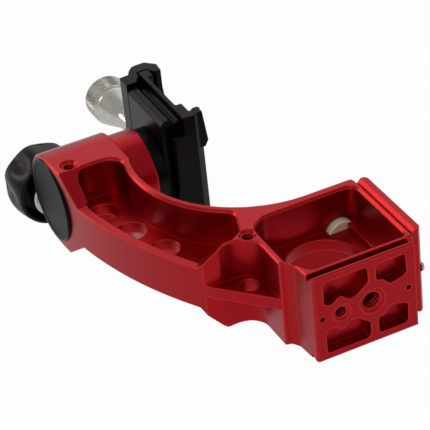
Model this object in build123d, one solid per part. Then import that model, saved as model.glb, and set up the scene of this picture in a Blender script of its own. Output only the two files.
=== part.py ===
from build123d import *
import os
from math import acos, cos, pi, sin, tan

# Side mount gimbal head for a tripod. Millimetres.
# Row frame: the origin is the centre of the mouth of the 3/8 inch thread in the foot.
# +Y runs from the foot up to the pivot, +X along the pivot axis from its cap to the clamp,
# +Z across the thickness of the arm. The arm is the same on both sides of its mid plane Z = 0.

# ---------------------------------------------------------------- driving dimensions
HALF = 19.0                 # half the thickness of the arm, and half of a 38 mm dovetail
WEB = 2.5                   # half the thickness of the web at mid plane
EDGE = 0.6                  # chamfer on the outer edges
RIM = 0.9                   # chamfer round the mouths of the pockets

FOOT_LEFT = -24.0           # foot face along X
FOOT_RIGHT = 18.4
BLOCK_RIGHT = 20.4          # side wall of the box, behind the rail
RAIL_FACE = 25.3            # outer face of the side rail
RAIL_NEAR = 7.0
RAIL_FAR = 47.6
BOX_LEFT = -29.1            # left wall of the box
BOX_FAR = 49.7              # far wall of the box
LIP = 1.1                   # dovetail lip before its 45 degree flank starts
DOVETAIL_DEPTH = 2.5        # how far the flank cuts in
NECK = 0.8                  # flat bottom of the dovetail groove

ARC_X, ARC_Y, ARC_R = 0.4, 97.3, 47.6        # hollow that the lens turns in
BACK_R = 171.5                               # curve of the outer wall
HUB_OUT = -74.0                              # hub ends along X
HUB_IN = -45.1
PIVOT_Y = 129.0                              # pivot axis, parallel to X, at Z = 0
INNER_WALL = 3.0                             # wall along the hollow
ARM_RIM = 8.9                                # half height of the outer wall of the arm
POCKET_CORNERS = [                           # x, y, radius of the long pocket's corners
    (-67.2, 101.9, 3.0), (-67.2, 116.4, 5.0), (-46.5, 116.4, 6.5), (-27.5, 55.1, 4.5),
    (-31.6, 42.6, 3.0), (-36.8, 39.4, 3.0), (-43.5, 39.4, 3.0)]
WEB_HOLES = [                                # x, y, radius
    (-61.4, 104.8, 6.2), (-57.5, 87.2, 6.3), (-51.6, 69.4, 6.0), (-5.2, 27.9, 14.6), (-35.0, 30.5, 3.8)]
DEBURR = 0.5                                 # chamfer on both edges of those holes

BORE_R = 10.5               # bearing seat for 12 x 21 x 5 bearings
BORE_END = -58.2            # end of the bearing seat
DRUM_ROOM_R = 8.6           # bore round the brake drum
CAP_R = 17.6
CAP_T = 2.0
CAP_PROUD = 0.5

LOCK_X, LOCK_Z = -65.8, -11.6                # tilt lock axis, parallel to Y
COTTER_R = 4.5
COTTER_FLOOR = 117.9
LOCK_SEAT = 146.4           # spot face under the lock collar

COLLAR_R = 9.25             # steel collar under the knob
LOCK_TRAVEL = 0.4
STUD_R = 3.0
COTTER_MIDDLE = PIVOT_Y
DRUM_R = 8.3
DRUM_BORE = 3.0
DRUM_OUT = -71.4
DRUM_LAP = 7.8              # length of the drum over the end of the shaft
SHAFT_END = -66.0
DRUM_SCREW_R = 2.5
JOURNAL_R = 6.0
RACE_OUT = 9.3              # bore of the bearing outer ring
RACE_IN = 7.3               # outside of the bearing inner ring
BALL_PITCH = 8.3
BALL_R = 1.2
BALLS = 6                   # in each bearing
TRACK_DEPTH = 1.28          # bottom of the ball track, from the pitch circle
TRACK_HALF = 1.0            # half the width of the track
BEARING_W = 5.0
SPACER_W = 1.6
RETAINER_T = 1.5
RETAINER_R = 11.4
FLUTES = 7
BARREL_R = 17.0
BARREL_OUT = -33.3          # barrel ends here and the adapter starts
GAP = 0.3                   # between hub and barrel
ADAPTER_R = 16.0
ADAPTER_PCD = 20.0

CLAMP_BACK = -28.6          # back of the clamp along X
CLAMP_HALF = 28.0           # half the length of the clamp along Z
BACK_HALF = 26.2            # half the length of its thick back
BACK_NEAR, BACK_FAR = 116.3, 147.4           # thick back along Y
BACK_CHAMFER = 1.7
SCOOP_X, SCOOP_R = -22.6, 2.1                # round scoop across each end of the thick back
RIB_HALF = 20.0             # half the length of the rib behind the fixed jaw
HORN = 1.5                  # how far the raised upper ends of the jaws stand out
HORN_INNER, HORN_FOOT = 14.2, 11.6           # where a raised end stops, and the foot of its step
JAW_GAP = 0.5               # between the base and the closed jaw
SPINDLE_X = -23.0
SPINDLE_R = 3.0             # M6
SPINDLE_END = 184.0
PIN_END = 156.0
PIN_Z, PIN_R = 15.0, 1.5
SCREW_R = 1.5
HEAD_R = 2.75
HEAD_FLOOR = -23.2
NOSE_SEAT = 157.0           # spot face on the movable jaw under the nose of its knob
NOSE_R = 4.2
BOSS_R = 5.5                # boss under that nose
KNURL_R = 9.6
KNURL_NEAR, KNURL_FAR = 180.4, 189.9         # knurled head of the jaw knob

DRILL_38, DRILL_14 = 4.0, 2.6                # core radii of the 3/8 and 1/4 inch threads
SMALL_THREAD_X = -12.9
FOOT_THREAD_DEPTH = 5.6

LEVEL_X, LEVEL_R = 11.2, 6.2
LEVEL_BACK = 42.2
LEVEL_FACE = 49.5
STOP_SHANK = 1.0
STOP_SCREWS = [(RAIL_FACE, 9.0, 0.0), (RAIL_FACE, 45.4, 0.0)]

RUN = 0.05                  # running clearance on a radius
FIT = 0.02                  # gap of a snug fit on a radius


PIVOT_AXIS = Axis((0, PIVOT_Y, 0), (1, 0, 0))


# ---------------------------------------------------------------- helpers
def write(node, shape):
    export_step(shape, os.path.join("parts", node + ".step"))


def outline(corners):
    """Closed face in XY from corners (x, y) or (x, y, radius); a radius rounds that corner."""
    count = len(corners)
    ends = []
    edges = []
    for i in range(count):
        before = Vector(*corners[i - 1][:2])
        here = Vector(*corners[i][:2])
        after = Vector(*corners[(i + 1) % count][:2])
        radius = corners[i][2] if len(corners[i]) > 2 else 0
        if radius == 0:
            ends.append((here, here))
            continue
        a = (before - here).normalized()
        b = (after - here).normalized()
        half_angle = acos(max(-1.0, min(1.0, a.dot(b)))) / 2
        start = here + a * (radius / tan(half_angle))
        stop = here + b * (radius / tan(half_angle))
        centre = here + (a + b).normalized() * (radius / sin(half_angle))
        middle = centre + (here - centre).normalized() * radius
        edges.append(ThreePointArc(start, middle, stop))
        ends.append((start, stop))
    for i in range(count):
        start = ends[i - 1][1]
        stop = ends[i][0]
        if (stop - start).length > 1e-6:
            edges.append(Line(start, stop))
    return make_face(edges)


def slab(face, low, high):
    """Prism of a face in XY between two heights."""
    return extrude(Pos(0, 0, low) * face, high - low)


def disc(radius, x, y):
    return Pos(x, y) * Circle(radius)


def along_x(radius, x0, x1, y=PIVOT_Y, z=0.0):
    """Round bar parallel to X."""
    return Pos((x0 + x1) / 2, y, z) * Rot(0, 90, 0) * Cylinder(radius, abs(x1 - x0))


def along_y(radius, y0, y1, x=0.0, z=0.0):
    """Round bar parallel to Y."""
    return Pos(x, (y0 + y1) / 2, z) * Rot(90, 0, 0) * Cylinder(radius, abs(y1 - y0))


def along_z(radius, z0, z1, x=0.0, y=0.0):
    return Pos(x, y, (z0 + z1) / 2) * Cylinder(radius, abs(z1 - z0))


def block(x0, x1, y0, y1, z0, z1):
    centre = Pos((x0 + x1) / 2, (y0 + y1) / 2, (z0 + z1) / 2)
    return centre * Box(abs(x1 - x0), abs(y1 - y0), abs(z1 - z0))


def turned_x(profile, y=PIVOT_Y, z=0.0):
    """Solid of revolution about the line parallel to X through (y, z); profile holds (x, radius)."""
    face = make_face(Polyline(*[(a, r) for a, r in profile], close=True))
    return Pos(0, y, z) * revolve(face, Axis.X)


def turned_y(profile, x=0.0, z=0.0):
    """Solid of revolution about the line parallel to Y through (x, z); profile holds (y, radius)."""
    face = make_face(Polyline(*[(r, a) for a, r in profile], close=True))
    return Pos(x, 0, z) * revolve(face, Axis.Y)


# ---------------------------------------------------------------- arm
def back_disc():
    """Round plate whose edge is the curve of the outer wall."""
    return disc(BACK_R, HUB_OUT + BACK_R, PIVOT_Y)


def arm_plan():
    """Silhouette of the box and the arm, seen along Z, without the side rail."""
    corners = [
        (FOOT_LEFT, 0, 1.2),
        (FOOT_RIGHT, 0),
        (FOOT_RIGHT, LIP + DOVETAIL_DEPTH + NECK),
        (BLOCK_RIGHT, LIP + DOVETAIL_DEPTH + NECK),
        (BLOCK_RIGHT, BOX_FAR, 2.0),
        (ARC_X, BOX_FAR),
        (ARC_X, PIVOT_Y - HALF),
        (HUB_IN, PIVOT_Y - HALF),
        (HUB_IN, PIVOT_Y),
        (HUB_OUT - 1, PIVOT_Y),
        (HUB_OUT - 1, 41.0),
        (-51.6, 41.0, 2.0),
        (-43.5, 37.4, 3.0),
        (BOX_LEFT, 38.2, 8.5),
        (BOX_LEFT, 16.0, 0.8),
        (-26.8, 15.4, 1.5),
        (-24.9, 12.0, 3.0),
    ]
    back = back_disc()
    box_side = Pos(0, 16.5) * Rectangle(100, 43)
    hollow = disc(ARC_R, ARC_X, ARC_Y)
    return (outline(corners) & (back + box_side)) - hollow


def round_end():
    """Half cylinder that ends the arm round the pivot axis."""
    flat = Line((PIVOT_Y, HALF), (PIVOT_Y, -HALF))
    round_ = ThreePointArc((PIVOT_Y, -HALF), (PIVOT_Y + HALF, 0), (PIVOT_Y, HALF))
    section = Plane.YZ * make_face([flat, round_])
    return extrude(Pos(HUB_OUT, 0, 0) * section, HUB_IN - HUB_OUT)


def foot_groove():
    """45 degree undercut that makes the foot a dovetail, on the upper side."""
    depth = HALF - DOVETAIL_DEPTH
    top = HALF + 1
    corners = [
        (LIP, HALF),
        (LIP + DOVETAIL_DEPTH, depth),
        (LIP + DOVETAIL_DEPTH + NECK, depth),
        (LIP + DOVETAIL_DEPTH + NECK, top),
        (LIP, top),
    ]
    face = Plane.YZ * make_face(Polyline(*corners, close=True))
    return Pos(-40, 0, 0) * extrude(face, 80)


def side_rail():
    """Second dovetail along the side wall of the box, with the neck that joins it."""
    inner = BLOCK_RIGHT + 0.7
    flank = 1.7
    section = [
        (BLOCK_RIGHT - 0.5, -HALF + flank),
        (inner, -HALF + flank),
        (inner + flank, -HALF),
        (RAIL_FACE, -HALF),
        (RAIL_FACE, HALF),
        (inner + flank, HALF),
        (inner, HALF - flank),
        (BLOCK_RIGHT - 0.5, HALF - flank),
    ]
    face = Plane.XZ * make_face(Polyline(*section, close=True))
    rail = Pos(0, RAIL_FAR, 0) * extrude(face, RAIL_FAR - RAIL_NEAR)
    ends = rail.edges().filter_by(Axis.Z).group_by(Axis.X)[-1]
    return chamfer(ends, 1.2)


def arm_pocket():
    """Plan of the long pocket in the arm."""
    corners = [
        (-67.2, 116.4),
        (-40.0, 116.4),
        (-27.0, 56.5),
        (-31.6, 42.6),
        (-36.8, 39.4),
        (-67.2, 39.4),
    ]
    back = disc(BACK_R - 3.4, HUB_OUT + BACK_R + 1.2, PIVOT_Y)
    wall = disc(ARC_R + INNER_WALL, ARC_X, ARC_Y)
    return (outline(corners) & back) - wall


def box_pocket():
    """Plan of the pocket in the box."""
    corners = [
        (18.4, 6.2, 2.5),
        (18.4, 45.6, 4.0),
        (-20.0, 45.6, 5.0),
        (-26.3, 41.5, 5.0),
        (-26.3, 16.4, 4.0),
        (-20.9, 6.2, 3.0),
    ]
    return outline(corners)


def outer_wall_relief():
    """What is milled off the outer wall above its rim, with a ramp at each end."""
    low = make_face(Polyline(
        (-95, 103.5), (-58, 103.5), (-47.5, 56), (-45.5, 48.6), (-58.5, 33), (-95, 33), close=True))
    high = make_face(Polyline(
        (-95, 117.0), (-58, 117.0), (-43.0, 56), (-36.6, 42.9), (-50.5, 26.0), (-95, 26), close=True))
    return loft([Pos(0, 0, ARM_RIM) * low, Pos(0, 0, HALF + 0.2) * high])


def web_holes():
    """Round holes through the web of the arm, the box and the corner gusset, chamfered on both sides."""
    cutters = []
    for x, y, radius in WEB_HOLES:
        flare = Pos(x, y, WEB) * Cone(radius - DEBURR, radius + DEBURR, 2 * DEBURR)
        hole = along_z(radius, -WEB - 1, WEB + 1, x, y)
        cutters.append(hole + flare + mirror(flare, about=Plane.XY))
    return cutters


def gusset():
    """Triangular web with a hole in the corner between arm and box."""
    plan = outline([(-50.6, 40.6), (-28.9, 16.2), (-27.5, 16.2), (-27.5, 40), (-40, 42)])
    return slab(plan & back_disc(), -WEB, WEB)


def foot_pockets():
    """Four weight pockets in the foot face, two wide and two narrow, round the threads."""
    wide = outline([
        (-19.9, 16.0, 1.5), (-1.5, 16.0, 2.0), (-1.3, 9.0, 2.5), (-6.4, 5.3, 2.0), (-9.6, 4.6, 1.5),
        (-12.9, 8.0, 2.0), (-16.8, 5.0, 1.5), (-19.9, 6.2, 1.0)])
    narrow = outline([
        (1.9, 15.6, 1.5), (14.4, 15.6, 1.5), (14.6, 6.6, 2.0), (11.2, 5.6, 2.0), (7.6, 4.9, 1.5),
        (4.9, 7.8, 1.5), (1.9, 8.6, 1.0)])
    depth = 4.4
    cutters = []
    for face in (wide, narrow):
        raised = Plane.XZ * face
        cutters.append(extrude(raised, depth, both=True))
    pair = cutters[0] + cutters[1]
    return pair + mirror(pair, about=Plane.XY)


def foot_holes():
    """Threads and pin holes in the foot face."""
    thread = along_y(DRILL_38, -1, FOOT_THREAD_DEPTH)
    thread += turned_y([(-0.01, 0), (-0.01, 5.4), (1.0, 4.3), (1.0, 0)])
    small = along_y(DRILL_14, -1, FOOT_THREAD_DEPTH, SMALL_THREAD_X)
    small += turned_y([(-0.01, 0), (-0.01, 3.65), (0.8, 2.8), (0.8, 0)], SMALL_THREAD_X)
    pins = along_y(1.0, -1, 4, -20.95) + along_y(1.0, -1, 4, 15.15)
    return thread + small + pins


def accessory_holes():
    """1/4 inch threads in both sides of the corner boss and in the upper side of the hub."""
    drill = along_z(DRILL_14, HALF - 8, HALF + 1)
    drill += Pos(0, 0, HALF - 0.55) * Cone(DRILL_14, 3.7, 1.12)
    boss = Pos(-30.3, 38.6, 0) * drill
    return boss + mirror(boss, about=Plane.XY) + Pos(-67.6, 120.4, 0) * drill


def hub_bores():
    """Bearing seat, drum room, cap recess and the cross bore of the tilt lock."""
    cutter = along_x(BORE_R, BORE_END, HUB_IN + 1)
    cutter += along_x(DRUM_ROOM_R, HUB_OUT - 1, BORE_END + 1)
    cutter += along_x(CAP_R + FIT, HUB_OUT - 1, HUB_OUT + CAP_T - CAP_PROUD)
    cutter += along_y(COTTER_R + RUN, COTTER_FLOOR, 150, LOCK_X, LOCK_Z)
    cutter += along_y(COLLAR_R + 0.3, LOCK_SEAT, 150, LOCK_X, LOCK_Z)
    cutter += along_x(RETAINER_R + 0.05, HUB_IN - RETAINER_T, HUB_IN + 1)
    return cutter


def level_seat():
    """Stepped hole for the round level, from the far wall into the box."""
    return along_y(LEVEL_R + FIT, LEVEL_BACK - 0.01, BOX_FAR + 1, LEVEL_X)


def flared(face, mouth, size):
    """Cutter that breaks the edge of a pocket at 45 degrees; mouth is the height of its edge."""
    return extrude(Pos(0, 0, mouth - size) * face, 2 * size, taper=-45)


def arm_blank():
    """Arm before its pockets: outer edges chamfered, outer wall relieved."""
    blank = slab(arm_plan(), -HALF, HALF) + round_end()
    flats = blank.faces().filter_by(Axis.Z).sort_by(Axis.Z)
    rim = flats[0].outer_wire().edges() + flats[-1].outer_wire().edges()
    blank = chamfer(rim.filter_by(lambda e: e.center().Y < PIVOT_Y - 1), EDGE)
    relief = outer_wall_relief()
    blank -= relief
    return blank - mirror(relief, about=Plane.XY)


def arm_pockets():
    """Both pockets of the upper side, with flared mouths."""
    plan = arm_pocket()
    tool = slab(plan, WEB, HALF + 1)
    for x, y, radius in POCKET_CORNERS:
        upright = tool.edges().filter_by(Axis.Z).sort_by_distance((x, y, HALF / 2))[0]
        tool = fillet(upright, radius)
    long_plan = tool.faces().sort_by(Axis.Z)[-1]
    long_plan = Pos(0, 0, -HALF - 1) * long_plan
    tool += flared(long_plan, HALF, RIM)
    low_rim = flared(long_plan, ARM_RIM, RIM)
    low_rim &= Pos(0, 0, -2 * RIM) * outer_wall_relief()
    tool += low_rim
    square = box_pocket()
    return tool + slab(square, WEB, HALF + 1) + flared(square, HALF, RIM)


def arm_body():
    body = arm_blank()
    pockets = arm_pockets()
    body -= pockets
    body -= mirror(pockets, about=Plane.XY)
    body += gusset()
    for hole in web_holes():
        body -= hole
    body += side_rail()
    bar = block(13.2, 18.6, 23.0, 43.0, WEB - 0.1, 5.0)
    body += bar + mirror(bar, about=Plane.XY)
    groove = foot_groove()
    body -= groove
    body -= mirror(groove, about=Plane.XY)
    body -= foot_pockets()
    body -= foot_holes()
    body -= accessory_holes()
    body -= hub_bores()
    body -= level_seat()
    for x, y, z in STOP_SCREWS:
        body -= along_x(STOP_SHANK + FIT, x - 5, x + 1, y, z)
    return body


def pivot_cap():
    """Disc over the outer end of the pivot bore, with a shallow dish and a rounded rim."""
    outer = HUB_OUT - CAP_PROUD
    inner = outer + CAP_T
    return turned_x([
        (inner, 0), (inner, CAP_R), (outer + 0.5, CAP_R), (outer, CAP_R - 0.5), (outer, 15.2),
        (outer + 0.3, 14.9), (outer + 0.3, 0)])


# ---------------------------------------------------------------- pivot inside the hub
def ring(outer, inner, x0, x1):
    """Plain ring about the pivot axis."""
    return turned_x([(x0, inner), (x0, outer), (x1, outer), (x1, inner)])


def bearing_starts():
    """Where the two bearings start along X, beside each other behind the retainer."""
    first = HUB_IN - RETAINER_T - BEARING_W
    return (first, first - SPACER_W - BEARING_W)


def race(outer, inner, x, grooved):
    """Bearing ring with a V shaped track half a ball deep in the side whose radius is grooved."""
    middle = x + BEARING_W / 2
    far = x + BEARING_W
    smooth = outer if grooved == inner else inner
    slope = 1 if grooved == inner else -1
    return turned_x([
        (x, smooth), (x, grooved), (middle - TRACK_HALF, grooved),
        (middle, BALL_PITCH + slope * TRACK_DEPTH),
        (middle + TRACK_HALF, grooved), (far, grooved), (far, smooth)])


def bearing_outer_rings():
    rings = []
    for x in bearing_starts():
        rings.append(race(BORE_R - FIT, RACE_OUT, x, RACE_OUT))
    return Compound(rings)


def bearing_inner_rings():
    rings = []
    for x in bearing_starts():
        rings.append(race(RACE_IN, JOURNAL_R + FIT, x, RACE_IN))
    return Compound(rings)


def bearing_balls():
    balls = []
    for x in bearing_starts():
        for i in range(BALLS):
            turn = 2 * pi * i / BALLS
            y = PIVOT_Y + BALL_PITCH * cos(turn)
            balls.append(Pos(x + BEARING_W / 2, y, BALL_PITCH * sin(turn)) * Sphere(BALL_R))
    return Compound(balls)


def bearing_spacer():
    """Tube that keeps the two inner rings apart."""
    first = bearing_starts()[0]
    return ring(RACE_IN, JOURNAL_R + FIT, first - SPACER_W, first)


def bearing_retainer():
    """Threaded ring that holds the outer rings in the hub."""
    plain = ring(RETAINER_R, RACE_OUT, HUB_IN - RETAINER_T, HUB_IN)
    edge = PIVOT_Y + RETAINER_R
    notch = block(HUB_IN - 0.6, HUB_IN + 1, edge - 1.1, edge + 1, -0.8, 0.8)
    for turn in (0, 90, 180, 270):
        plain -= notch.rotate(PIVOT_AXIS, turn)
    return plain


def pivot_shaft():
    """Barrel between hub and clamp, its journal in the bearings and the end that carries the drum."""
    shaft = turned_x([
        (BARREL_OUT, 0), (BARREL_OUT, BARREL_R - 0.5), (BARREL_OUT - 0.5, BARREL_R),
        (HUB_IN + GAP + 0.5, BARREL_R), (HUB_IN + GAP, BARREL_R - 0.5), (HUB_IN + GAP, RACE_IN),
        (HUB_IN - RETAINER_T, RACE_IN), (HUB_IN - RETAINER_T, JOURNAL_R), (SHAFT_END, JOURNAL_R),
        (SHAFT_END, 0)])
    shaft -= along_x(DRUM_SCREW_R + FIT, SHAFT_END - 1, SHAFT_END + 9)
    for y, z in adapter_screw_places():
        shaft -= along_x(SCREW_R + FIT, BARREL_OUT - 8, BARREL_OUT + 1, y, z)
    return shaft


def brake_drum():
    """Steel drum on the end of the shaft; the tilt lock grips it from the side."""
    drum = ring(DRUM_R, DRUM_BORE, DRUM_OUT, SHAFT_END + DRUM_LAP)
    drum -= along_x(JOURNAL_R + FIT, SHAFT_END, SHAFT_END + DRUM_LAP + 1)
    drum -= turned_x([
        (DRUM_OUT - 1, 0), (DRUM_OUT - 1, 5.6), (DRUM_OUT, 5.6), (DRUM_OUT + 2.6, DRUM_BORE),
        (DRUM_OUT + 2.6, 0)])
    return drum


def hex_socket(size, depth, face, y, z):
    """Hexagon key recess that opens toward -X."""
    recess = extrude(RegularPolygon(size / 2, 6, major_radius=False), depth)
    return Pos(face, y, z) * Rot(0, 90, 0) * recess


def drum_screw():
    """Countersunk screw that draws the drum onto the shaft."""
    screw = turned_x([
        (DRUM_OUT + 0.2, 0), (DRUM_OUT + 0.2, 5.3), (DRUM_OUT + 2.7, DRUM_SCREW_R),
        (SHAFT_END + 8, DRUM_SCREW_R), (SHAFT_END + 8, 0)])
    return screw - hex_socket(4, 2.2, DRUM_OUT, PIVOT_Y, 0)


# ---------------------------------------------------------------- tilt lock
def scallop(slack):
    """Round hollow in a cotter that takes the side of the drum."""
    return along_x(DRUM_R + slack, LOCK_X - 8, LOCK_X + 8)


def lock_shoe():
    """Upper cotter: slides with the knob and presses on the drum."""
    shoe = along_y(COTTER_R, COTTER_MIDDLE + 2.6, LOCK_SEAT - 0.9, LOCK_X, LOCK_Z)
    shoe -= along_y(STUD_R + 0.1, COTTER_MIDDLE, LOCK_SEAT + 1, LOCK_X, LOCK_Z)
    return shoe - scallop(0.12 + LOCK_TRAVEL)


def lock_anchor():
    """Lower cotter: threaded for the stud."""
    anchor = along_y(COTTER_R, COTTER_FLOOR + 0.6, COTTER_MIDDLE - 1.2, LOCK_X, LOCK_Z)
    anchor -= along_y(STUD_R + 0.05, COTTER_FLOOR, COTTER_MIDDLE, LOCK_X, LOCK_Z)
    return anchor - scallop(0.12)


def lock_collar():
    """Turned steel collar between the knob and the shoe."""
    return turned_y([
        (LOCK_SEAT + LOCK_TRAVEL + 0.2, STUD_R + FIT), (LOCK_SEAT + LOCK_TRAVEL + 0.2, COLLAR_R - 0.6),
        (LOCK_SEAT + LOCK_TRAVEL + 0.8, COLLAR_R), (151.4, COLLAR_R), (152.2, COLLAR_R - 0.8),
        (152.2, 6.4), (156.0, 6.4), (156.0, STUD_R + FIT)], LOCK_X, LOCK_Z)


def lock_stud():
    """Stud of the lock knob; its thread is in the lower cotter."""
    return turned_y([
        (COTTER_FLOOR + 2.0, 0), (COTTER_FLOOR + 2.0, STUD_R - 0.6), (COTTER_FLOOR + 2.6, STUD_R),
        (162.5, STUD_R), (162.5, 0)], LOCK_X, LOCK_Z)


def tilt_lock_knob():
    """Moulded knob with seven flutes, hollow underneath."""
    knob = turned_y([
        (150.0, 13.0), (150.0, 13.6), (150.5, 14.1), (155.5, 15.6), (160.0, 16.0), (164.5, 15.6),
        (167.0, 14.6), (168.0, 13.2), (168.0, 9.5), (167.4, 9.1), (167.4, 0), (159.0, 0), (159.0, 13.0)],
        LOCK_X, LOCK_Z)
    flute = along_y(6.2, 148, 170, 20.0, 0)
    for i in range(FLUTES):
        knob -= Pos(LOCK_X, 0, LOCK_Z) * Rot(0, 360 * (i + 0.5) / FLUTES, 0) * flute
    boss = along_y(7.6, 152.4, 160.0, LOCK_X, LOCK_Z)
    knob += boss
    knob -= along_y(6.4 + FIT, 152, 156.0 + FIT, LOCK_X, LOCK_Z)
    return knob - along_y(STUD_R + FIT, 150, 162.5 + FIT, LOCK_X, LOCK_Z)


def knob_cover():
    """Cap let into the outer end of the lock knob."""
    return turned_y([(167.4, 0), (167.4, 9.0), (168.1, 9.0), (168.4, 8.6), (168.5, 0)], LOCK_X, LOCK_Z)


# ---------------------------------------------------------------- clamp
def adapter_screw_places():
    """Four places on a circle about the pivot axis, on the diagonals."""
    places = []
    for i in range(4):
        turn = pi / 4 + i * pi / 2
        places.append((PIVOT_Y + ADAPTER_PCD / 2 * cos(turn), ADAPTER_PCD / 2 * sin(turn)))
    return places


def clamp_adapter():
    """Disc between the barrel and the clamp."""
    disc_ = turned_x([
        (BARREL_OUT, 0), (BARREL_OUT, ADAPTER_R - 0.4), (BARREL_OUT + 0.4, ADAPTER_R),
        (CLAMP_BACK - 0.4, ADAPTER_R), (CLAMP_BACK, ADAPTER_R - 0.4), (CLAMP_BACK, 0)])
    for y, z in adapter_screw_places():
        disc_ -= along_x(SCREW_R + 0.2, BARREL_OUT - 1, CLAMP_BACK + 1, y, z)
    return disc_


def clamp_base_profile():
    """Section of the clamp base across its length: fixed jaw, seat, web strip and far rail."""
    return make_face(Polyline(
        (-20.5, 111.6), (-15.7, 111.2), (-12.4, 113.4), (-11.4, 115.4), (-12.1, 116.8), (-14.0, 116.7),
        (-15.8, 115.4), (-16.2, 115.8), (-16.2, 122.4), (-18.3, 122.4), (-18.8, 123.2), (-18.8, 148.6),
        (-16.3, 149.2), (-16.3, 153.6), (-17.0, 154.1), (-20.5, 154.1), close=True))


def horn(y0, y1, x):
    """Raised upper end of a jaw: it climbs from the end of the clamp and stops in a short step."""
    root = x - 2.0
    plan = make_face(Polyline(
        (root, CLAMP_HALF), (x, CLAMP_HALF), (x + HORN, HORN_INNER), (x, HORN_FOOT),
        (root, HORN_FOOT), close=True))
    return Pos(0, y1, 0) * extrude(Plane.XZ * plan, y1 - y0)


def thick_back():
    """Block behind the seat, its ends chamfered and scooped, with the rib of the fixed jaw beside it."""
    inner = -19.0
    back = block(CLAMP_BACK, inner, BACK_NEAR, BACK_FAR, -BACK_HALF, BACK_HALF)
    back = chamfer(back.edges().filter_by(Axis.Y).group_by(Axis.X)[0], BACK_CHAMFER)
    for end in (-1, 1):
        back -= along_y(SCOOP_R, BACK_NEAR - 1, BACK_FAR + 1, SCOOP_X, end * BACK_HALF)
    rib = outline([(-25.5, 111.3, 0.8), (-16.0, 111.3), (-16.0, 113.9), (-25.5, 113.9)])
    return back + slab(rib, -RIB_HALF, RIB_HALF)


def clamp_base():
    """Body of the clamp: thin seat over the full length, thick back with the screw and pins."""
    base = slab(clamp_base_profile(), -CLAMP_HALF, CLAMP_HALF)
    base += thick_back()
    base += horn(112.3, 115.3, -11.9)
    base -= along_y(SPINDLE_R + 0.03, 118, 156, SPINDLE_X)
    for z in (-PIN_Z, PIN_Z):
        base -= along_y(PIN_R + FIT, 128, 150, SPINDLE_X, z)
    for y, z in adapter_screw_places():
        base -= along_x(SCREW_R + 0.2, CLAMP_BACK - 1, -18, y, z)
        base -= along_x(HEAD_R + 0.1, HEAD_FLOOR, -18, y, z)
    return base


def clamp_screws():
    """Cap screws through the clamp base and the adapter into the barrel."""
    screws = []
    for y, z in adapter_screw_places():
        screw = along_x(HEAD_R, HEAD_FLOOR, HEAD_FLOOR + 3.0, y, z)
        screw += along_x(SCREW_R, BARREL_OUT - 7, HEAD_FLOOR, y, z)
        recess = extrude(RegularPolygon(1.5, 6, major_radius=False), 1.8)
        screw -= Pos(HEAD_FLOOR + 3.01, y, z) * Rot(0, -90, 0) * recess
        screws.append(screw)
    return Compound(screws)


def movable_jaw_profile():
    near = BACK_FAR + JAW_GAP
    return make_face(Polyline(
        (CLAMP_BACK, near), (CLAMP_BACK, 154.7), (-24.7, 155.0), (-23.0, 157.8), (-21.0, 159.9),
        (-19.1, 160.4), (-14.9, 160.3), (-11.3, 156.2), (-11.8, 151.0), (-14.0, 151.0), (-15.8, 153.2),
        (-15.8, 154.9), (-21.0, 154.9), (-21.4, 152.4), (-24.2, near), close=True))


def movable_jaw():
    """Sliding jaw: hooked lip with a raised end, and a boss with a spot face under the nose of its knob."""
    jaw = slab(movable_jaw_profile(), -CLAMP_HALF, CLAMP_HALF)
    boss = along_y(BOSS_R, 152, NOSE_SEAT, SPINDLE_X)
    jaw += boss - block(-21.4, -14, 150, 154.9, -BOSS_R, BOSS_R)
    jaw += horn(153.4, 157.4, -11.9)
    jaw -= along_y(SPINDLE_R + 0.25, 140, 165, SPINDLE_X)
    jaw -= along_y(NOSE_R + 1.4, NOSE_SEAT, 170, SPINDLE_X)
    for z in (-PIN_Z, PIN_Z):
        jaw -= along_y(PIN_R + RUN, 140, PIN_END + 0.6, SPINDLE_X, z)
    return jaw


def jaw_spindle():
    """Threaded spindle, fixed in the knob."""
    return turned_y([
        (120.0, 0), (120.0, SPINDLE_R - 0.6), (120.6, SPINDLE_R), (SPINDLE_END, SPINDLE_R), (SPINDLE_END, 0)],
        SPINDLE_X)


def jaw_guide_pins():
    pins = []
    for z in (-PIN_Z, PIN_Z):
        pins.append(along_y(PIN_R, 129, PIN_END, SPINDLE_X, z))
    return Compound(pins)


def jaw_knob():
    """Steel knob: long polished cone that widens from its nose to the straight knurled head."""
    rim = 0.8
    return turned_y([
        (NOSE_SEAT + 0.05, SPINDLE_R + FIT), (NOSE_SEAT + 0.05, NOSE_R - 0.3), (NOSE_SEAT + 0.35, NOSE_R),
        (167.5, 4.6), (178.6, 9.0), (KNURL_NEAR, KNURL_R), (KNURL_FAR - rim, KNURL_R),
        (KNURL_FAR, KNURL_R - rim), (KNURL_FAR, 6.2), (KNURL_FAR - 0.7, 5.5), (KNURL_FAR - 0.7, 0),
        (SPINDLE_END + FIT, 0), (SPINDLE_END + FIT, SPINDLE_R + FIT)], SPINDLE_X)


# ---------------------------------------------------------------- small parts
def stop_screws():
    """Button head screws in the side rail that stop a clamp from sliding off."""
    screws = []
    for x, y, z in STOP_SCREWS:
        head = turned_x([(x, 0), (x, 1.9), (x + 0.5, 1.9), (x + 1.1, 1.3), (x + 1.2, 0)], y, z)
        shank = along_x(STOP_SHANK, x - 4.6, x, y, z)
        screws.append(head + shank)
    return Compound(screws)


def level_case():
    """Cup of the round level."""
    return turned_y([
        (LEVEL_BACK, 0), (LEVEL_BACK, LEVEL_R - 0.4), (LEVEL_BACK + 0.4, LEVEL_R), (LEVEL_FACE, LEVEL_R),
        (LEVEL_FACE, LEVEL_R - 0.9), (LEVEL_BACK + 2.0, LEVEL_R - 0.9), (LEVEL_BACK + 2.0, 0)], LEVEL_X)


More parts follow.
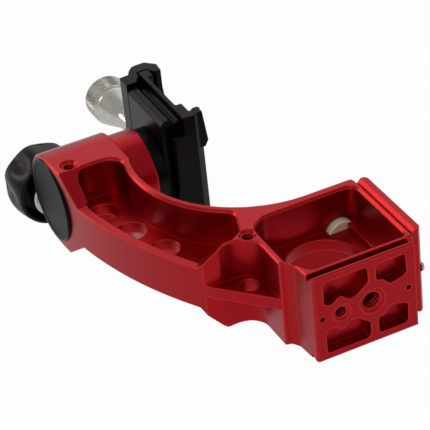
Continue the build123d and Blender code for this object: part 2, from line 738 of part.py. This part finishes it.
def level_liquid():
    """Green liquid, with the hollow that the bubble fills."""
    fill = turned_y([
        (LEVEL_BACK + 2.0, 0), (LEVEL_BACK + 2.0, LEVEL_R - 0.92), (LEVEL_FACE - 1.2, LEVEL_R - 0.92),
        (LEVEL_FACE - 0.8, 0)], LEVEL_X)
    return fill - Pos(LEVEL_X, LEVEL_FACE - 2.4, 0) * Sphere(1.5)


def level_bubble():
    return Pos(LEVEL_X, LEVEL_FACE - 2.4, 0) * Sphere(1.48)


def level_window():
    """Clear lens over the liquid."""
    return turned_y([
        (LEVEL_FACE - 0.8, 0), (LEVEL_FACE - 1.2, LEVEL_R - 0.92), (LEVEL_FACE - 0.2, LEVEL_R - 0.92),
        (LEVEL_FACE, LEVEL_R - 1.4), (LEVEL_FACE, 0)], LEVEL_X)


# ---------------------------------------------------------------- build
os.makedirs("parts", exist_ok=True)
write("arm_body", arm_body())
write("pivot_cap", pivot_cap())
write("bearing_outer_rings", bearing_outer_rings())
write("bearing_inner_rings", bearing_inner_rings())
write("bearing_balls", bearing_balls())
write("bearing_spacer", bearing_spacer())
write("bearing_retainer", bearing_retainer())
write("pivot_shaft", pivot_shaft())
write("brake_drum", brake_drum())
write("drum_screw", drum_screw())
write("lock_shoe", lock_shoe())
write("lock_anchor", lock_anchor())
write("lock_collar", lock_collar())
write("lock_stud", lock_stud())
write("tilt_lock_knob", tilt_lock_knob())
write("knob_cover", knob_cover())
write("clamp_adapter", clamp_adapter())
write("clamp_base", clamp_base())
write("clamp_screws", clamp_screws())
write("movable_jaw", movable_jaw())
write("jaw_spindle", jaw_spindle())
write("jaw_guide_pins", jaw_guide_pins())
write("jaw_knob", jaw_knob())
write("stop_screws", stop_screws())
write("level_case", level_case())
write("level_liquid", level_liquid())
write("level_bubble", level_bubble())
write("level_window", level_window())
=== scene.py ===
import math

import bmesh
import bpy
import numpy as np
from mathutils import Matrix, Vector


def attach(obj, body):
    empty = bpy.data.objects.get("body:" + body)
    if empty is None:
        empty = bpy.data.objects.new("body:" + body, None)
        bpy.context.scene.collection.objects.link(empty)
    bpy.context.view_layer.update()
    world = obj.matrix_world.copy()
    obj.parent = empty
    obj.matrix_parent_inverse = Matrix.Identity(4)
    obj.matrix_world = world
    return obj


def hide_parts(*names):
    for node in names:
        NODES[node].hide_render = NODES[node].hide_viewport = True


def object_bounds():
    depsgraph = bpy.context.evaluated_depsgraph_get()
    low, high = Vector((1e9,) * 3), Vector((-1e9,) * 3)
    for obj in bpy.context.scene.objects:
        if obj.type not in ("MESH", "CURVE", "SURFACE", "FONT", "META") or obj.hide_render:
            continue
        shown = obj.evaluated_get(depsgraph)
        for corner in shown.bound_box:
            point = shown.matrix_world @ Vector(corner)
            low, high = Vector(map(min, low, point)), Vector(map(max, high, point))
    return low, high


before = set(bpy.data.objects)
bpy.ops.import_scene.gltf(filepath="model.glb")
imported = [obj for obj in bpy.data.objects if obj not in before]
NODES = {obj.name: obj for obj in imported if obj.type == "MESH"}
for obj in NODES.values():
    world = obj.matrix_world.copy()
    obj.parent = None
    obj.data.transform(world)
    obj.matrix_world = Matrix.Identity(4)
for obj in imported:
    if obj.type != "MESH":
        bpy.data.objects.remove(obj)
CAD_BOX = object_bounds()

MM = 0.001

# Rays that each bevelled normal and each measure of openness takes.
BEVEL_RAYS = 4
SKY_RAYS = 6

# A point on the axis of each round piece, and the ends of the knurl along Y, in millimetres.
LOCK_AXIS = (-65.8, 0.0, -11.6)
JAW_AXIS = (-23.0, 0.0, 0.0)
PIVOT_AXIS = (0.0, 129.0, 0.0)
LEVEL_AXIS = (11.2, 0.0, 0.0)
KNURL_START, KNURL_END = 180.5, 189.0


# ---------------------------------------------------------------- shader maths
class Signal:
    """One socket of a finish. Arithmetic on it adds the Math nodes that carry the sum out."""

    def __init__(self, finish, socket):
        self.finish = finish
        self.socket = socket

    def _math(self, operation, first, second):
        return self.finish.node("ShaderNodeMath", {0: first, 1: second}, operation=operation)

    def __add__(self, other):
        return self._math("ADD", self, other)

    def __radd__(self, other):
        return self._math("ADD", other, self)

    def __sub__(self, other):
        return self._math("SUBTRACT", self, other)

    def __rsub__(self, other):
        return self._math("SUBTRACT", other, self)

    def __mul__(self, other):
        return self._math("MULTIPLY", self, other)

    def __rmul__(self, other):
        return self._math("MULTIPLY", other, self)

    def __truediv__(self, other):
        return self._math("DIVIDE", self, other)

    def __rtruediv__(self, other):
        return self._math("DIVIDE", other, self)


class Finish:
    """A material in the making: its closing shader and the nodes that feed it."""

    def __init__(self, name, kind="ShaderNodeBsdfPrincipled", **constants):
        self.material = bpy.data.materials.new(name)
        self.material.use_nodes = True
        self.tree = self.material.node_tree
        self.tree.nodes.clear()
        self.shader = self.tree.nodes.new(kind)
        output = self.tree.nodes.new("ShaderNodeOutputMaterial")
        self.tree.links.new(self.shader.outputs[0], output.inputs[0])
        for socket, value in constants.items():
            self.feed(socket.replace("_", " "), value)

    def feed(self, socket, value):
        """Links a signal to one of the shader's sockets, or sets the socket to a plain value."""
        self._put(self.shader.inputs[socket], value)

    def _put(self, socket, value):
        if isinstance(value, Signal):
            self.tree.links.new(value.socket, socket)
        else:
            socket.default_value = value

    def node(self, kind, values=(), output=0, stops=(), **settings):
        """Adds a node: its settings first, then a ramp's stops, then the values or links of its sockets."""
        made = self.tree.nodes.new(kind)
        for name, value in settings.items():
            setattr(made, name, value)
        for index, (place, colour) in enumerate(stops):
            ramp = made.color_ramp.elements
            stop = ramp[index] if index < len(ramp) else ramp.new(place)
            stop.position = place
            stop.color = colour
        for name, value in dict(values).items():
            self._put(made.inputs[name], value)
        return Signal(self, made.outputs[output])

    def place(self):
        """Object coordinates."""
        return self.node("ShaderNodeTexCoord", output="Object")

    def along_y(self):
        """Place along the object's Y, in metres."""
        return self.node("ShaderNodeSeparateXYZ", {0: self.place()}, output="Y")

    def from_axis(self, through, line):
        """Distance from the line that runs through a place in millimetres, along axis X, Y or Z."""
        centre = [length * MM for length in through]
        flat = [0 if axis == line else 1 for axis in "XYZ"]
        offset = self.node("ShaderNodeVectorMath", {0: self.place(), 1: centre}, operation="SUBTRACT")
        across = self.node("ShaderNodeVectorMath", {0: offset, 1: flat}, operation="MULTIPLY")
        return self.node("ShaderNodeVectorMath", {0: across}, output="Value", operation="LENGTH")

    def grain(self, size, detail=2.0, roughness=0.5):
        """Noise whose blobs are about size metres across, 0 to 1."""
        values = {"Vector": self.place(), "Scale": 1 / size, "Detail": detail, "Roughness": roughness}
        return self.node("ShaderNodeTexNoise", values)

    def spread(self, signal, low, high):
        """Straight map of 0 to 1 onto low to high."""
        return signal * (high - low) + low

    def clamped(self, signal):
        """The signal, held between 0 and 1."""
        return self.node("ShaderNodeClamp", {"Value": signal})

    def mix(self, factor, first, second):
        """Colour between first and second."""
        values = {"Factor": factor, 6: first, 7: second}
        return self.node("ShaderNodeMix", values, output=2, data_type="RGBA")

    def ramp(self, signal, stops):
        """Colour that the stops, pairs of place and colour, give to a signal of 0 to 1."""
        return self.node("ShaderNodeValToRGB", {0: signal}, output="Color", stops=stops)

    def rounded(self, radius):
        """Normal that turns over the edges as if they were rounded by that radius."""
        return self.node("ShaderNodeBevel", {"Radius": radius}, samples=BEVEL_RAYS)

    def in_the_open(self, reach, shut, clear):
        """How open a place is within reach: 0 where the share of sky is shut or less, and 1 where it is clear
        or more."""
        values = {"Distance": reach}
        sky = self.node("ShaderNodeAmbientOcclusion", values, output="AO", samples=SKY_RAYS, only_local=True)
        return self.clamped((sky - shut) / (clear - shut))

    def edges(self, width):
        """1 on an outer edge, and 0 from width away from it: how far the rounded normal leans from the flat
        one, left out in inner corners."""
        gain = 12
        normals = {0: self.rounded(width), 1: self.node("ShaderNodeNewGeometry", output="True Normal")}
        lean = 1 - self.node("ShaderNodeVectorMath", normals, output="Value", operation="DOT_PRODUCT")
        return self.clamped(gain * lean) * self.in_the_open(reach=2.5 * width, shut=0.6, clear=0.9)

    def bumped(self, height, distance, strength, softened=0.0):
        """Normal from a height of 0 to 1 that stands distance metres high; softened rounds the edges by that
        radius."""
        values = {"Height": height, "Distance": distance, "Strength": strength}
        if softened:
            values["Normal"] = self.rounded(softened)
        return self.node("ShaderNodeBump", values)


# ---------------------------------------------------------------- finishes
def anodised(name, deep, pale, rim, recess_shade):
    """Blasted and anodised aluminium: fine matt grain and a slow drift of depth in the dye under a clear
    oxide.
    Along the outer edges a painted highlight in the rim colour, with less coat there; down in the narrow
    recesses a painted shade in the recess colour."""
    softened = 0.85 * MM
    oxide = 0.24
    matt = 0.33
    finish = Finish(name, Metallic=1.0, Coat_Roughness=0.32)
    drift = finish.grain(18 * MM, detail=3)
    fine = finish.grain(0.16 * MM, detail=4, roughness=0.65)
    # Painted highlight: the rim colour laid over the outer edges, where the coat thins too.
    edge_highlight = finish.edges(softened)
    # Painted shade: the recess colour laid where little of the sky is open within reach.
    recess_shade_mask = finish.in_the_open(reach=12 * MM, shut=0.1, clear=0.4)
    dye = finish.mix(recess_shade_mask, recess_shade, finish.mix(0.6 * drift + 0.4 * fine, deep, pale))
    finish.feed("Base Color", finish.mix(edge_highlight, dye, rim))
    finish.feed("Coat Weight", oxide - 0.8 * oxide * edge_highlight)
    finish.feed("Roughness", finish.spread(fine, matt - 0.06, matt + 0.06))
    finish.feed("Normal", finish.bumped(fine, 0.02 * MM, 0.35, softened))
    return finish.material


def blackened(name, deep, pale, roughness, grain, gloss=0.5, softened=0.5 * MM):
    """Black anodised or oxidised metal: its dye swallows the metal's shine and leaves the oxide's gloss."""
    finish = Finish(name, Specular_IOR_Level=gloss)
    drift = finish.grain(14 * MM, detail=3)
    fine = finish.grain(grain, detail=4, roughness=0.65)
    finish.feed("Base Color", finish.mix(0.5 * drift + 0.5 * fine, deep, pale))
    finish.feed("Roughness", finish.spread(fine, roughness - 0.07, roughness + 0.07))
    finish.feed("Normal", finish.bumped(fine, 0.02 * MM, 0.35, softened))
    return finish.material


def textured_cap(name, deep, pale, rim, rim_radius):
    """Cap over the pivot bore: a leathery matt face, and a smoother rim from rim_radius outwards."""
    pebble = 0.9 * MM
    step = 0.2 * MM
    finish = Finish(name, Specular_IOR_Level=0.12)
    hide = finish.node("ShaderNodeTexVoronoi", {"Vector": finish.place(), "Scale": 1 / pebble}, feature="F1")
    smooth = finish.clamped((finish.from_axis(PIVOT_AXIS, "X") - rim_radius) / step)
    finish.feed("Base Color", finish.mix(smooth, finish.mix(hide, pale, deep), rim))
    finish.feed("Roughness", 0.45 - 0.2 * smooth)
    finish.feed("Normal", finish.bumped(hide * (1 - smooth), 0.08 * MM, 0.5, 0.4 * MM))
    return finish.material


def moulded(name, deep, pale, roughness):
    """Moulded plastic with a slight orange peel and low gloss."""
    finish = Finish(name, Specular_IOR_Level=0.18, Coat_Weight=0.04, Coat_Roughness=0.2)
    peel = finish.grain(1.1 * MM)
    finish.feed("Base Color", finish.mix(peel, deep, pale))
    finish.feed("Roughness", finish.spread(peel, roughness - 0.05, roughness + 0.07))
    finish.feed("Normal", finish.bumped(peel, 0.02 * MM, 0.4, 0.4 * MM))
    return finish.material


def banded(name, near, far):
    """Cast cup of the level, banded along Y: cream at its closed end, near, green at the wall that holds it,
    far, and paler and pinker in between."""
    finish = Finish(name, Roughness=0.18, Coat_Weight=0.6, Coat_Roughness=0.08)
    cloud = finish.grain(1.5 * MM)
    depth = (finish.along_y() - near) / (far - near) + 0.12 * cloud
    bands = [(0.0, (0.86, 0.80, 0.58, 1)), (0.18, (1.0, 0.98, 0.9, 1)), (0.45, (0.95, 0.80, 0.72, 1)),
             (0.62, (0.98, 0.97, 0.85, 1)), (1.0, (0.28, 0.46, 0.12, 1))]
    finish.feed("Base Color", finish.ramp(depth, bands))
    finish.feed("Normal", finish.bumped(cloud, 0.01 * MM, 0.3, 0.3 * MM))
    return finish.material


def bullseye(name, reach):
    """Green liquid of the level, seen along Y: from its centre out to reach, a pale bubble with its dark rim,
    the green, the printed black ring and the green again, darker towards the cup."""
    finish = Finish(name, Roughness=0.15, Coat_Weight=0.5, Coat_Roughness=0.05)
    radius = finish.from_axis(LEVEL_AXIS, "Y") / reach
    ring = (0.01, 0.01, 0.01, 1)
    rings = [(0.0, (0.80, 0.95, 0.40, 1)), (0.20, (0.70, 0.90, 0.30, 1)), (0.235, (0.10, 0.20, 0.02, 1)),
             (0.27, (0.42, 0.66, 0.06, 1)), (0.42, (0.40, 0.62, 0.05, 1)), (0.44, ring), (0.48, ring),
             (0.50, (0.38, 0.60, 0.05, 1)), (0.86, (0.20, 0.36, 0.02, 1))]
    finish.feed("Base Color", finish.ramp(radius, rings))
    finish.feed("Normal", finish.bumped(finish.grain(2 * MM), 0.01 * MM, 0.2))
    return finish.material


def clear_lens(name):
    """Water-clear window with a faint haze."""
    finish = Finish(name, Transmission_Weight=1.0, IOR=1.49)
    haze = finish.grain(2 * MM)
    finish.feed("Base Color", finish.mix(haze, (0.95, 1.0, 0.93, 1), (1, 1, 1, 1)))
    finish.feed("Roughness", finish.spread(haze, 0.02, 0.06))
    return finish.material


def turned(name, deep, pale, roughness, knurled=False):
    """Metal turned about an axis parallel to Y, with fine rings along it. A knurled one gets a painted shade
    down in the grooves of the jaw knob's knurl, by how far its radius falls from outer towards inner."""
    finish = Finish(name, Metallic=1.0)
    along = finish.along_y()
    rings = finish.node("ShaderNodeTexNoise", {"W": along, "Scale": 9000, "Detail": 3}, noise_dimensions="1D")
    metal = finish.mix(finish.grain(3 * MM, detail=3), deep, pale)
    if knurled:
        outer, inner = 9.55 * MM, 9.25 * MM
        # Painted shade: a near-black colour laid in the knurl's grooves, the more the deeper the radius
        # falls.
        groove_shade = (0.03, 0.03, 0.028, 1)
        groove_shade_mask = finish.clamped((outer - finish.from_axis(JAW_AXIS, "Y")) / (outer - inner))
        after = finish.node("ShaderNodeMath", {0: along, 1: KNURL_START * MM}, operation="GREATER_THAN")
        before = finish.node("ShaderNodeMath", {0: along, 1: KNURL_END * MM}, operation="LESS_THAN")
        metal = finish.mix(0.85 * groove_shade_mask * after * before, metal, groove_shade)
    finish.feed("Base Color", metal)
    finish.feed("Roughness", finish.spread(rings, roughness - 0.07, roughness + 0.1))
    finish.feed("Normal", finish.bumped(rings, 0.01 * MM, 0.5, 0.15 * MM))
    return finish.material


def dress(material, *names):
    """Gives CAD nodes a finish."""
    for name in names:
        slots = NODES[name].data.materials
        slots.clear()
        slots.append(material)


# The rim colour is a painted highlight on the edges, and the recess colour a painted shade in recesses.
RED = anodised("red_anodised", deep=(0.36, 0.0012, 0.007, 1), pale=(0.50, 0.0025, 0.012, 1),
               rim=(0.90, 0.05, 0.035, 1), recess_shade=(0.035, 0.0002, 0.0005, 1))
GREY = textured_cap("cap_grey", deep=(0.006, 0.007, 0.009, 1), pale=(0.018, 0.021, 0.025, 1),
                    rim=(0.003, 0.003, 0.003, 1), rim_radius=16.6 * MM)
BLACK = blackened("black_anodised", deep=(0.0015, 0.0015, 0.0015, 1), pale=(0.005, 0.0045, 0.0045, 1),
                  roughness=0.27, grain=0.16 * MM, gloss=0.12, softened=0.9 * MM)
PLASTIC = moulded("black_plastic", deep=(0.003, 0.003, 0.004, 1), pale=(0.008, 0.008, 0.010, 1),
                  roughness=0.34)
JAW_STEEL = turned("knurled_steel", deep=(0.46, 0.45, 0.42, 1), pale=(0.74, 0.73, 0.68, 1), roughness=0.26,
                   knurled=True)
LOCK_STEEL = turned("steel", deep=(0.5, 0.5, 0.49, 1), pale=(0.68, 0.68, 0.67, 1), roughness=0.25)
SCREW_BLACK = blackened("black_steel", deep=(0.006, 0.006, 0.006, 1), pale=(0.018, 0.018, 0.018, 1),
                        roughness=0.3, grain=0.3 * MM)
BRASS = turned("brass", deep=(0.6, 0.42, 0.16, 1), pale=(0.75, 0.56, 0.26, 1), roughness=0.3)
VIAL = banded("level_plastic", near=42.2 * MM, far=45.6 * MM)
LIQUID = bullseye("level_liquid", reach=6.2 * MM)
CLEAR = clear_lens("level_glass")
BUBBLE = moulded("level_bubble", deep=(0.85, 0.95, 0.6, 1), pale=(0.95, 1.0, 0.8, 1), roughness=0.1)

dress(RED, "arm_body", "pivot_shaft")
dress(GREY, "pivot_cap")
dress(BLACK, "clamp_adapter", "clamp_base", "movable_jaw")
dress(PLASTIC, "tilt_lock_knob", "knob_cover")
dress(JAW_STEEL, "jaw_knob", "jaw_spindle", "jaw_guide_pins")
dress(LOCK_STEEL, "lock_collar", "lock_stud", "brake_drum", "bearing_outer_rings", "bearing_inner_rings",
      "bearing_balls", "bearing_spacer", "stop_screws")
dress(SCREW_BLACK, "clamp_screws", "drum_screw", "bearing_retainer")
dress(BRASS, "lock_shoe", "lock_anchor")
dress(VIAL, "level_case")
dress(LIQUID, "level_liquid")
dress(BUBBLE, "level_bubble")
dress(CLEAR, "level_window")


# ---------------------------------------------------------------- surfaces
def about(line, centre, along, radius, count):
    """Grid of points round a line parallel to axis number line (0 X, 1 Y, 2 Z) through centre: at each place
    along it, the point of angle t lies radius * cos t along the next axis and radius * sin t along the one
    after."""
    first, second = (line + 1) % 3, (line + 2) % 3
    turn = np.linspace(0, 2 * np.pi, count, endpoint=False)
    points = np.zeros((len(along), count, 3))
    points[..., line] = np.reshape(along, (-1, 1))
    points[..., first] = centre[first] + radius * np.cos(turn)
    points[..., second] = centre[second] + radius * np.sin(turn)
    return points


def surface(name, grids, body, material, instead_of=(), sharp=32, ring=False):
    """One mesh over grids of points in millimetres. Each grid closes round its second index, and with ring
    also from its last row to its first. Rows of no radius merge into poles, and edges sharper than sharp
    degrees stay crisp."""
    places = []
    faces = []
    start = 0
    for grid in grids:
        rows, around = grid.shape[:2]
        index = start + np.arange(rows * around).reshape(rows, around)
        if ring:
            index = np.vstack([index, index[:1]])
        over = np.roll(index, -1, axis=1)
        faces.append(np.stack([index[:-1], over[:-1], over[1:], index[1:]], axis=-1).reshape(-1, 4))
        places.append(grid.reshape(-1, 3))
        start += rows * around
    mesh = bpy.data.meshes.new(name)
    mesh.from_pydata((np.concatenate(places) * MM).tolist(), [], np.concatenate(faces).tolist())
    shell = bmesh.new()
    shell.from_mesh(mesh)
    bmesh.ops.remove_doubles(shell, verts=shell.verts, dist=0.0005 * MM)
    bmesh.ops.recalc_face_normals(shell, faces=shell.faces)
    shell.to_mesh(mesh)
    shell.free()
    mesh.shade_smooth()
    mesh.set_sharp_from_angle(angle=math.radians(sharp))
    mesh.materials.append(material)
    piece = bpy.data.objects.new(name, mesh)
    bpy.context.collection.objects.link(piece)
    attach(piece, body)
    if instead_of:
        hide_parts(*instead_of)


def columns(profile):
    """A profile of pairs (place along the axis, radius) as two columns of numbers."""
    pairs = np.array(profile, dtype=float)
    return pairs[:, 0], pairs[:, 1:]


def eased(value):
    """0 below 0, 1 above 1, and a smooth S between."""
    value = np.clip(value, 0, 1)
    return value * value * (3 - 2 * value)


# ---------------------------------------------------------------- knobs
def lobed_knob():
    """Lock knob. Outside, radius = 16.0 - 1.7 ((y - 160) / 10)^2 from the skirt up to the shoulder, then a
    quarter ellipse over the crown; from it each of the flutes takes depth * ((1 + cos 7t) / 2)^1.3. The depth
    rises from the skirt and falls towards the crown in smooth steps."""
    skirt, shoulder, crown_top = 150.0, 165.0, 168.0
    widest, widest_at, fall, crown_radius = 16.0, 160, 1.7, 12.2
    side_rows, crown_rows = 26, 9
    flutes, points_per_flute, flute_depth, flute_power = 7, 28, 1.6, 1.3
    fades_in, fades_out = 9.0, 2.6
    hollow = [(162.5, 0), (162.5, 3.02), (156.02, 3.02), (156.02, 6.42), (152.4, 6.42), (152.4, 7.3),
              (152.7, 7.6), (158.5, 7.6), (158.9, 8.0), (159.0, 8.5), (159.0, 12.2), (158.8, 12.7),
              (158.3, 13.0), (150.5, 13.0), (150.15, 13.1), (skirt, 13.35)]
    side = np.linspace(skirt + 0.2, shoulder, side_rows)
    side_radius = widest - fall * ((side - widest_at) / 10) ** 2
    turn = np.linspace(0, np.pi / 2, crown_rows + 1)[1:]
    crown = shoulder + (crown_top - shoulder) * np.sin(turn)
    over_crown = crown_radius + (side_radius[-1] - crown_radius) * np.cos(turn)
    top = [(crown_top, 9.6), (167.9, 9.3), (167.4, 9.1), (167.4, 0)]
    hollow_along, hollow_radius = columns(hollow)
    top_along, top_radius = columns(top)
    along = np.concatenate([hollow_along, side, crown, top_along])
    radius = np.concatenate([hollow_radius, side_radius[:, None], over_crown[:, None], top_radius])
    fluted = np.concatenate([0 * hollow_along, 1 + 0 * side, 1 + 0 * crown, 0 * top_along])
    depth = fluted * flute_depth * eased((along - skirt) / fades_in) * eased((crown_top - along) / fades_out)
    angle = np.linspace(0, 2 * np.pi, points_per_flute * flutes, endpoint=False)
    flute = ((1 + np.cos(flutes * (angle - np.pi / 2) - np.pi)) / 2) ** flute_power
    grid = about(1, LOCK_AXIS, along, radius - depth[:, None] * flute, len(angle))
    surface("lobed_knob", [grid], "lock_knob", PLASTIC, ("tilt_lock_knob",), sharp=50)


def knurled_knob():
    """Jaw knob: turned profile, and round its head 80 straight ridges, radius - 0.36 |2 frac(80 t) - 1|, with
    t in turns."""
    ridges, points_per_ridge, ridge_height = 80, 4, 0.36
    profile = [(184.02, 0), (184.02, 3.02), (157.05, 3.02), (157.05, 3.95), (157.15, 4.12), (157.4, 4.2),
               (160.0, 4.25), (164.0, 4.4), (167.0, 4.62), (168.0, 4.9), (168.8, 5.3), (178.2, 8.75),
               (178.7, 8.9), (179.0, 8.9), (179.2, 9.05), (180.4, 9.5), (180.6, 9.6), (188.9, 9.6),
               (189.2, 9.5), (189.9, 8.8), (189.9, 6.4), (189.75, 6.1), (189.2, 5.5), (189.0, 0)]
    along, radius = columns(profile)
    steps = np.arange(ridges * points_per_ridge) / points_per_ridge
    ridge = np.abs(2 * (steps % 1) - 1)
    knurled = np.where((along > KNURL_START) & (along < KNURL_END), 1.0, 0.0)[:, None]
    grid = about(1, JAW_AXIS, along, radius - knurled * ridge_height * ridge, len(steps))
    surface("knurled_knob", [grid], "jaw_knob", JAW_STEEL, ("jaw_knob",), sharp=28)


# ---------------------------------------------------------------- threads and screws
def thread(line, centre, core, pitch, start, end):
    """Inside of a tapped hole: radius = core + 0.05 - 0.42 pitch * ridge(frac(s / pitch - t)), with s along
    the hole and t in turns, where the ridge rises and falls in straight flanks. The grid closes along a plain
    wall inside the metal."""
    rows_per_turn, around = 10, 48
    steepness, root = 1.5, 0.25
    clearance, height, wall_depth = 0.05, 0.42 * pitch, 0.4
    along = np.linspace(start, end, int((end - start) / pitch * rows_per_turn) + 1)
    turn = np.linspace(0, 1, around, endpoint=False)
    phase = (along[:, None] / pitch - turn) % 1
    ridge = np.clip(steepness * (1 - np.abs(2 * phase - 1)) - root, 0, 1)
    radius = core + clearance - height * ridge
    wall = np.full((1, around), core + wall_depth)
    along = np.concatenate([along[:1], along, along[-1:]])
    return about(line, centre, along, np.concatenate([wall, radius, wall]), around)


def tapped_holes():
    """The five threads of the arm: two in the foot's face, one in the hub and one in each side of the bridge
    between its pockets."""
    large_core, large_pitch = 4.0, 1.5875
    small_core, small_pitch = 2.6, 1.27
    hub, bridge = (-67.6, 120.4, 0), (-30.3, 38.6, 0)
    holes = [
        thread(1, (0, 0, 0), large_core, large_pitch, 0.9, 5.4),
        thread(1, (-12.9, 0, 0), small_core, small_pitch, 0.7, 5.4),
        thread(2, hub, small_core, small_pitch, 11.1, 17.9),
        thread(2, bridge, small_core, small_pitch, 11.1, 17.9),
        thread(2, bridge, small_core, small_pitch, -17.9, -11.1)]
    surface("tapped_holes", holes, "arm", RED, ring=True, sharp=60)


def button_screw(y):
    """Screw whose button head, a quarter ellipse turned round X, stands on the rail's face. Its hexagon key
    recess has radius = apothem / cos(t folded to one side)."""
    face, head_height, shank_length = 25.3, 1.2, 4.6
    crown_radius, swell, neck_radius, shank_radius = 1.15, 0.8, 1.3, 1.0
    apothem = 0.75
    angle = np.linspace(0, 2 * np.pi, 48, endpoint=False)
    folded = (angle + np.pi / 6) % (np.pi / 3) - np.pi / 6
    hexagon = apothem / np.cos(folded)
    shank = [(face - shank_length, 0), (face - shank_length, shank_radius), (face - 0.1, shank_radius),
             (face, neck_radius)]
    dome = [(face + head_height * np.sin(turn), crown_radius + swell * np.cos(turn))
            for turn in np.linspace(0, np.pi / 2, 7)]
    along, radius = columns(shank + dome)
    radius = np.repeat(radius, len(angle), axis=1)
    along = np.concatenate([along, [face + 1.15, face + 0.4, face + 0.35]])
    radius = np.vstack([radius, hexagon, hexagon, 0 * hexagon])
    return about(0, (0, y, 0), along, radius, len(angle))


def rail_screws():
    """The two stop screws in the side rail, by their places along Y."""
    surface("rail_screws", [button_screw(9.0), button_screw(45.4)], "arm", LOCK_STEEL, ("stop_screws",))


lobed_knob()
knurled_knob()
tapped_holes()
rail_screws()


# ---------------------------------------------------------------- studio
def floor_paint():
    """Matt paint mixed with a white glow. The glow takes nearly all of what is seen directly or through
    glass, about half of what a surface mirrors, and none of the rest. The paint's share keeps the shadow."""
    glowing, mirrored = 0.97, 0.5
    finish = Finish("floor", "ShaderNodeMixShader")
    sight, glass, mirror = [finish.node("ShaderNodeLightPath", output=f"Is {kind} Ray")
                            for kind in ("Camera", "Transmission", "Glossy")]
    direct = finish.node("ShaderNodeMath", {0: sight, 1: glass}, operation="MAXIMUM")
    finish.feed(0, glowing * (mirrored * mirror + direct))
    finish.feed(1, finish.node("ShaderNodeBsdfDiffuse", {"Color": (0.8, 0.8, 0.8, 1)}))
    finish.feed(2, finish.node("ShaderNodeEmission", {"Color": (1, 1, 1, 1)}))
    return finish.material


def studio_floor(height):
    """Wide square floor that the object lies on."""
    half = 3.0
    mesh = bpy.data.meshes.new("floor")
    corners = [(-half, -half, height), (half, -half, height), (half, half, height), (-half, half, height)]
    mesh.from_pydata(corners, [], [(0, 1, 2, 3)])
    mesh.materials.append(floor_paint())
    floor = bpy.data.objects.new("floor", mesh)
    bpy.context.collection.objects.link(floor)


def lamp(name, place, size, watts, colour=(1, 1, 1)):
    """Square soft box that faces the middle of the object and doesn't show itself to the camera."""
    data = bpy.data.lights.new(name, "AREA")
    data.shape = "SQUARE"
    data.size = size
    data.energy = watts
    data.color = colour
    made = bpy.data.objects.new(name, data)
    bpy.context.collection.objects.link(made)
    made.location = place
    direction = (CAD_BOX[0] + CAD_BOX[1]) / 2 - Vector(place)
    made.rotation_euler = direction.to_track_quat("-Z", "Y").to_euler()
    made.visible_camera = False


def studio_world(strength):
    """Even white light from all sides."""
    world = bpy.data.worlds.new("studio")
    world.use_nodes = True
    background = world.node_tree.nodes["Background"]
    background.inputs["Color"].default_value = (1, 1, 1, 1)
    background.inputs["Strength"].default_value = strength
    bpy.context.scene.world = world


def camera():
    """Seen from the foot's side, above and to its left."""
    place = (-0.29830, -0.56903, 0.48235)
    right = Vector((0.89190856, -0.4430309, -0.09067936))
    up = Vector((0.31875491, 0.47367647, 0.82099081))
    data = bpy.data.cameras.new("camera")
    data.sensor_width = 36.0
    data.lens = 183.56
    data.clip_start = 0.05
    data.clip_end = 20.0
    made = bpy.data.objects.new("camera", data)
    bpy.context.collection.objects.link(made)
    turn = Matrix((right, up, right.cross(up))).transposed().to_4x4()
    made.matrix_world = Matrix.Translation(place) @ turn
    bpy.context.scene.camera = made


studio_floor(CAD_BOX[0].z)
studio_world(0.42)
lamp("key", place=(0.7, 1.28, 1.1), size=1.7, watts=5.4)
lamp("fill", place=(-0.9, -0.75, 0.9), size=0.9, watts=1.6)
lamp("rim", place=(-1.1, 1.28, 0.66), size=0.5, watts=4, colour=(1.0, 0.86, 0.72))
camera()
bpy.context.scene.view_settings.view_transform = "Standard"
